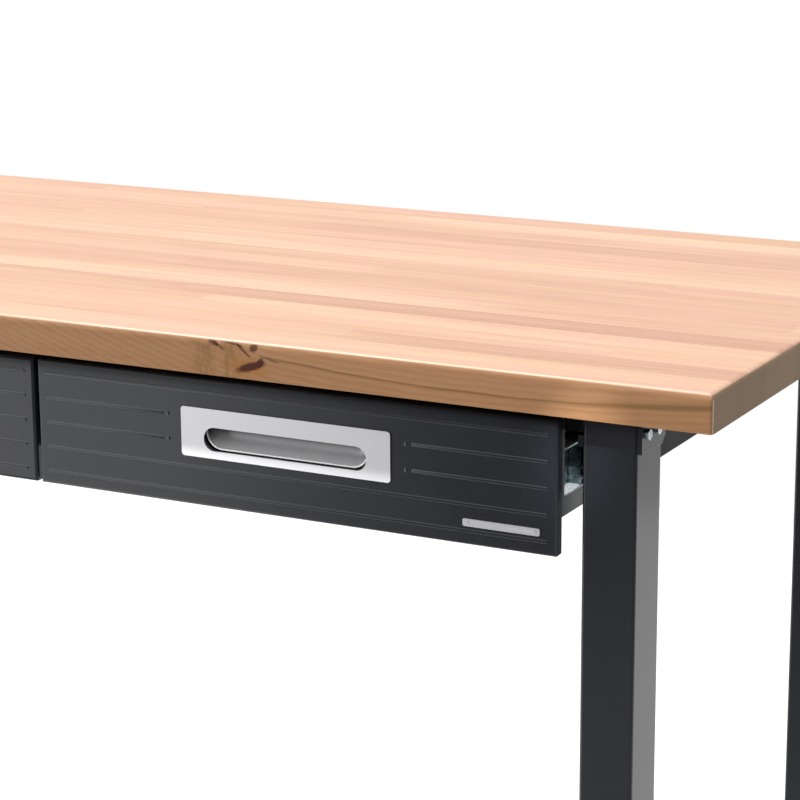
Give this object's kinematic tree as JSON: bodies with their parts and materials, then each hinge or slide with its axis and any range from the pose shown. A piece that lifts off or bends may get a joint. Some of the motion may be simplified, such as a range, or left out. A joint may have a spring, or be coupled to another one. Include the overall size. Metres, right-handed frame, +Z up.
{
  "type": "workbench with drawers",
  "caption": "Workbench: thick wooden top on square steel legs with braces, levelling feet and shallow side-by-side steel drawers on ball-bearing slides with recessed pulls.",
  "frame": {"origin": "centre of the footprint, on the floor under the feet", "axes": "+Z up, +X to the right along the top's length, -Y towards the front, where the drawers open"},
  "size_m": [1.219, 0.61, 0.9525],
  "materials": {
    "wood": "clear-lacquered hardwood block, satin",
    "charcoal_paint": "charcoal powder coat, fine texture",
    "zinc": "bright zinc plate",
    "stainless": "satin stainless steel",
    "polished_steel": "polished stainless steel",
    "black_plastic": "moulded black nylon"
  },
  "bodies": {
    "bench": {"wood_top": "wood", "leg_front_left": "charcoal_paint", "leg_front_right": "charcoal_paint", "leg_rear_left": "charcoal_paint", "leg_rear_right": "charcoal_paint", "bracket_front_left": "charcoal_paint", "bracket_front_right": "charcoal_paint", "bracket_rear_left": "charcoal_paint", "bracket_rear_right": "charcoal_paint", "bracket_bolts": "zinc", "top_screws": "zinc", "side_rail_left": "charcoal_paint", "side_rail_right": "charcoal_paint", "front_rail": "charcoal_paint", "rear_rail": "charcoal_paint", "lower_rail_left": "charcoal_paint", "lower_rail_right": "charcoal_paint", "lower_rail_rear": "charcoal_paint", "hanger_left": "charcoal_paint", "hanger_centre": "charcoal_paint", "hanger_right": "charcoal_paint", "slide_screws": "zinc", "leg_plugs": "black_plastic", "left_bench_member_outer": "zinc", "left_bench_member_inner": "zinc", "right_bench_member_outer": "zinc", "right_bench_member_inner": "zinc"},
    "left_drawer": {"left_drawer_front": "charcoal_paint", "left_drawer_box": "charcoal_paint", "left_pull_plate": "stainless", "left_pull_scoop": "polished_steel", "left_pull_bracket": "charcoal_paint", "left_pull_rivets": "charcoal_paint", "left_channel_outer": "zinc", "left_channel_inner": "zinc"},
    "right_drawer": {"right_drawer_front": "charcoal_paint", "right_drawer_box": "charcoal_paint", "right_pull_plate": "stainless", "right_pull_scoop": "polished_steel", "right_pull_bracket": "charcoal_paint", "right_pull_rivets": "charcoal_paint", "right_channel_outer": "zinc", "right_channel_inner": "zinc", "badge_plate": "stainless"},
    "left_slide_middle": {"left_middle_outer": "zinc", "left_middle_inner": "zinc", "left_slide_balls": "zinc"},
    "right_slide_middle": {"right_middle_outer": "zinc", "right_middle_inner": "zinc", "right_slide_balls": "zinc"},
    "foot_front_left": {"foot_stud_front_left": "zinc", "foot_pad_front_left": "black_plastic"},
    "foot_front_right": {"foot_stud_front_right": "zinc", "foot_pad_front_right": "black_plastic"},
    "foot_rear_left": {"foot_stud_rear_left": "zinc", "foot_pad_rear_left": "black_plastic"},
    "foot_rear_right": {"foot_stud_rear_right": "zinc", "foot_pad_rear_right": "black_plastic"}
  },
  "joints": [
    {"name": "left_drawer_slide", "type": "slide", "parent": "bench", "child": "left_drawer", "axis": [0, -1, 0], "range_m": [0, 0.35]},
    {"name": "left_middle_slide", "type": "slide", "parent": "bench", "child": "left_slide_middle", "axis": [0, -1, 0], "range_m": [0, 0.175]},
    {"name": "right_drawer_slide", "type": "slide", "parent": "bench", "child": "right_drawer", "axis": [0, -1, 0], "range_m": [0, 0.35]},
    {"name": "right_middle_slide", "type": "slide", "parent": "bench", "child": "right_slide_middle", "axis": [0, -1, 0], "range_m": [0, 0.175]},
    {"name": "foot_front_left_screw", "type": "slide", "parent": "bench", "child": "foot_front_left", "axis": [0, 0, -1], "range_m": [0, 0.015]},
    {"name": "foot_front_right_screw", "type": "slide", "parent": "bench", "child": "foot_front_right", "axis": [0, 0, -1], "range_m": [0, 0.015]},
    {"name": "foot_rear_left_screw", "type": "slide", "parent": "bench", "child": "foot_rear_left", "axis": [0, 0, -1], "range_m": [0, 0.015]},
    {"name": "foot_rear_right_screw", "type": "slide", "parent": "bench", "child": "foot_rear_right", "axis": [0, 0, -1], "range_m": [0, 0.015]}
  ],
  "couplings": [
    {"joint": "left_middle_slide", "follows": "left_drawer_slide", "ratio": 0.5},
    {"joint": "right_middle_slide", "follows": "right_drawer_slide", "ratio": 0.5}
  ]
}
